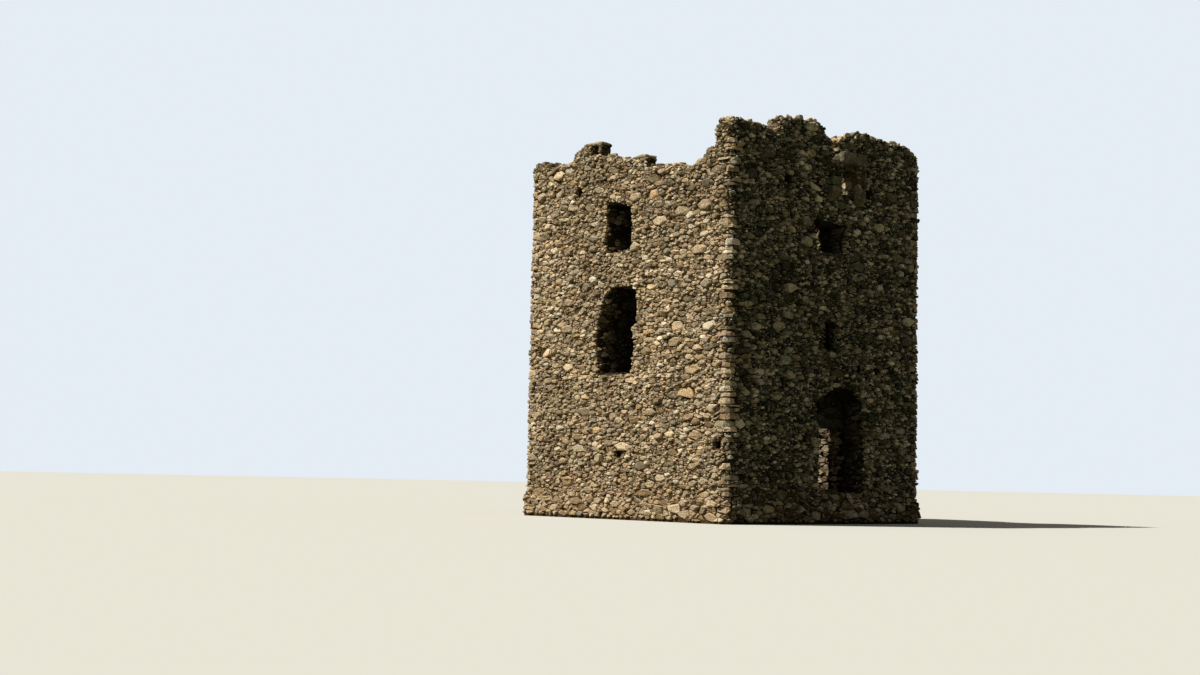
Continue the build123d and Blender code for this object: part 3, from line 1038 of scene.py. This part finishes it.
footing_area = footing_perimeter * footing_top
thrown = throw_stones(pick_on_footing, footing_area, footing_sizes, rng, footing_perimeter)
shapes = grow_stones(thrown, footing_joint, rng, footing_perimeter)
for wall, name in enumerate(wall_names):
    own = [shape for shape in shapes if int((shape[0] // footing_quarter) % 4) == wall]
    placed = place_stones(own, fold_footing, rng, lip=0.0, stands=stands_on_footing)
    # Each wall's footing takes that wall's finish, painted shade included.
    material = wall_materials[name]
    raise_stones(f"footing_stones_{name}", placed, material, "footing_stone", Proud=0.075, Seed=5.0 + wall)

# %% [markdown]
# ## The other faces
#
# Inside the tower, in the openings and on the wall-head there are many more faces, and some
# slope. They are found and not listed: the triangles of the solids are sorted by the plane that
# they lie in, and each plane gets its own layout. A plane that faces up is paving, a ledge or
# the wall-head, by its height. One that faces down is an underside, and the rest are walls.

# %% Sort the solids' triangles by plane
same_face = 0.004
smallest_triangle = 1e-6
nearly_upright = 0.01
floor_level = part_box("ground_floor")[1][2]
wall_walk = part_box("parapet_back")[0][2]
outer_faces = ((tower_half, corner_radius), (footing_half, footing_radius))
planes = {}


def lies_on(point, half, radius):
    """Tells whether a point lies on the face of a rounded square."""
    x, y = (max(abs(value) - (half - radius), 0) for value in point.xy)
    return abs(math.hypot(x, y) - radius) < same_face


for corners in stone_faces:
    a, b, c = (all_points[index] for index in corners)
    normal = (b - a).cross(c - a)
    area = normal.length / 2
    if area < smallest_triangle:
        continue
    normal.normalize()
    if normal.z < -0.5 and a.z < floor_level:
        continue
    is_outer = any(all(lies_on(point, *face) for point in (a, b, c)) for face in outer_faces)
    if abs(normal.z) < nearly_upright and is_outer:
        continue
    key = (round(normal.x, 2), round(normal.y, 2), round(normal.z, 2), round(normal.dot(a), 2))
    planes.setdefault(key, []).append((area, a, b, c, normal))
print(len(planes), "planes besides the outer faces")

# %% Choose how a plane is laid
same_level = 0.01
above_walk = 0.1
below_floor = 0.02


def laying(normal, level):
    """Gives the group, the sizes, the height and the joint of the stones on a plane."""
    if normal.z > 0.5:
        if abs(level - floor_level) < same_level:
            return "paving_stones", ((0.20, 0.30, 8), (0.10, 0.16, 40), (0.06, 0.09, 40)), 0.025, 0.006
        if level > wall_walk + above_walk:
            return "wall_head_stones", ((0.13, 0.20, 14), (0.07, 0.11, 60), (0.045, 0.06, 90)), 0.13, 0.004
        return "ledge_stones", ((0.14, 0.21, 14), (0.08, 0.12, 40)), 0.06, 0.006
    if normal.z < -0.5:
        return "opening_stones", ((0.14, 0.22, 20), (0.06, 0.10, 80)), 0.03, 0.006
    return None, ((0.13, 0.20, 3), (0.085, 0.12, 40), (0.055, 0.075, 70)), 0.06, 0.005


def lay_plane(triangles, rng):
    """Lays stones on the open part of one plane and returns them placed."""
    normal = sum((t[4] * t[0] for t in triangles), Vector()).normalized()
    origin = triangles[0][1]
    level_way = up.cross(normal) if abs(normal.z) < 0.9 else Vector((1, 0, 0))
    sideways = (level_way - normal * level_way.dot(normal)).normalized()
    upwards = normal.cross(sideways)
    group, sizes, proud, joint = laying(normal, origin.z)
    weights = [t[0] for t in triangles]

    def pick(rng):
        t = rng.choices(triangles, weights)[0]
        s, r = rng.random(), rng.random()
        if s + r > 1:
            s, r = 1 - s, 1 - r
        point = t[1] + (t[2] - t[1]) * s + (t[3] - t[1]) * r
        low = point.z < floor_level - below_floor
        outside = max(abs(point.x), abs(point.y)) > tower_half
        on_footing = normal.z > 0.5 and outside
        if (low and not on_footing) or not is_open(point, normal):
            return None
        gap = point - origin
        return gap.dot(sideways), gap.dot(upwards)

    def to_face(u, v):
        return origin + sideways * u + upwards * v, normal

    shapes = grow_stones(throw_stones(pick, sum(weights), sizes, rng), joint, rng)
    placed = place_stones(shapes, to_face, rng)
    return group, normal, proud, placed

# %% [markdown]
# The inside gets painted shade, darkest at the foot, except on the right wall, where the sun
# reaches down to the floor and only a little painted shade is left at its foot. The back wall's
# inner side never gets any sun and gets a deeper painted shade. The sides of an opening get
# darker from the outer face inwards as painted shade, though less in the left wall, and the
# undersides in the front wall get the darkest painted shade of all. Stones inside get fewer
# faces, as they are seen from farther off.

# %% Lay every plane and gather the stones in pieces
# Most groups named here take a finish with painted shade, and every other group takes the inner finish with
# painted shade.
special_rubble = {
    "wall_head_stones": rubble,
    "inner_stones_right": sunlit_inner_rubble,
    "reveal_stones": reveal_rubble,
    "reveal_stones_left": left_reveal_rubble,
    "recess_stones": painted_shade_rubble,
    "opening_stones": painted_shade_rubble,
    "opening_stones_front": soffit_rubble,
    "inner_stones_back": painted_shade_rubble,
}
wall_head_look = {"Full Size": 0.12}
inner_look = {"Small Size": 0.085, "Large Size": 0.5}
groups = {}
smallest_plane = 0.01
thinnest_wall = 0.7
straight_in = 0.7
for key in sorted(planes):
    triangles = planes[key]
    if sum(t[0] for t in triangles) < smallest_plane:
        continue
    group, normal, proud, placed = lay_plane(triangles, rng)
    for stone in placed:
        middle = sum(stone[0], Vector()) / len(stone[0])
        inner = max(abs(middle.x), abs(middle.y))
        name = group
        if name == "opening_stones" and -middle.y > abs(middle.x):
            name = "opening_stones_front"
        if name is None:
            facing = max(range(4), key=lambda i: -directions[i][0].dot(normal))
            through_wall = normal.x if abs(middle.x) > abs(middle.y) else normal.y
            if inner < tower_half - thinnest_wall or middle.z > wall_walk:
                name = f"inner_stones_{wall_names[facing]}"
            elif abs(through_wall) > straight_in:
                name = "recess_stones"
            elif -middle.x > abs(middle.y):
                name = "reveal_stones_left"
            else:
                name = "reveal_stones"
        groups.setdefault((name, proud), []).append(stone)
for (name, proud), placed in sorted(groups.items()):
    slot = "paving" if name == "paving_stones" else "rubble"
    material = special_rubble.get(name, inner_rubble)
    look = wall_head_look if name == "wall_head_stones" else inner_look
    raise_stones(name, placed, material, slot, Proud=proud, Seed=float(len(name)), **look)

# %% [markdown]
# ## Dressed stones
#
# The corbels, the slab, the lintels and the two caps are single large stones. Their solids have
# the right shape with sharp edges, and long weather has taken those off. A remesh cuts each one
# into small even faces, and a node tree smooths them and pushes them in and out by noise. The
# worn copy then stands for the solid, which stays in the simulation. The cheek beside the slot
# is worn in the same way, under the small stones that were laid on it.

# %% Build the tree that wears a stone
wear_look = {"Wear": 0.09, "Grain": 6.0, "Seed": 0.0}
mean_noise = 0.53


def build_wearing_tree():
    """Builds the node tree that roughens a dressed stone."""
    tree, start, keys = start_tree("wear_stone", wear_look)
    centred = maths(tree, "SUBTRACT", grain(tree, start, 3.0)["Fac"], mean_noise)
    facing = tree.nodes.new("GeometryNodeInputNormal").outputs["Normal"]
    offset = scaled(tree, facing, times(tree, centred, start["Wear"]))
    end_tree(tree, start, moved(tree, start["Geometry"], offset))
    return tree, keys


wearing_tree, wearing_inputs = build_wearing_tree()

# %% Make the materials of the dressed stones
def dressed_material(name, dark, middle, light, lichen):
    """Makes the finish of a large single stone, with bands of three colours and spots of lichen."""
    material, tree, shader, coordinates = start_material(name, 0.92)
    bands = noise(tree, coordinates, 5.0, 6.0, 0.7)
    colour = ramp(tree, bands, [(0.32, dark), (0.50, middle), (0.68, light)])
    spots = spread(tree, noise(tree, coordinates, 16.0, 5.0, 0.65), 0.56, 0.66, 0.0, lichen)
    colour = mix(tree, "MIX", spots, colour, lichen_colour)
    tree.links.new(colour, shader.inputs["Base Color"])
    rough_face(tree, shader, coordinates)
    return material


dressed = dressed_material(
    "dressed_stone", (0.035, 0.035, 0.018), (0.11, 0.10, 0.065), (0.22, 0.20, 0.14), 0.30)
# Painted shade: a darker copy of the dressed stone for the door's inner lintel, which lies in shade.
painted_shade_dressed = dressed_material(
    "damp_dressed_stone", (0.012, 0.012, 0.007), (0.035, 0.032, 0.020), (0.07, 0.065, 0.045), 0.05)
pale_dressed = dressed_material(
    "sunlit_dressed_stone", (0.14, 0.11, 0.065), (0.33, 0.27, 0.18), (0.52, 0.46, 0.35), 0.70)

# %% Wear the dressed stones
fine_cell = 0.028
coarse_cell = 0.045
same_place = 0.0005
dressed_names = sorted(name for name in nodes if slot_of[name] == "dressed_stone")
for seed, name in enumerate(dressed_names):
    solid = nodes[name]
    shape = solid.data.copy()
    shape.transform(solid.matrix_world)
    piece = add_object(f"worn_{name}", shape)
    weld = piece.modifiers.new("weld", "WELD")
    weld.merge_threshold = same_place
    remesh = piece.modifiers.new("even_faces", "REMESH")
    remesh.mode = "VOXEL"
    remesh.voxel_size = coarse_cell if name == "door_inner_lintel" else fine_cell
    soften = piece.modifiers.new("soften", "SMOOTH")
    soften.iterations = 2
    # The door's inner lintel takes the copy with painted shade.
    finish = {"parapet_caps": pale_dressed, "door_inner_lintel": painted_shade_dressed}.get(name, dressed)
    add_tree(piece, wearing_tree, wearing_inputs, {**wear_look, "Seed": float(seed), "Material": finish})
    triangles = evaluated_mesh(piece, piece.name)
    total_triangles += triangles
    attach(piece, "root")
    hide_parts(name)
    print(piece.name, triangles, "triangles, in all", total_triangles)
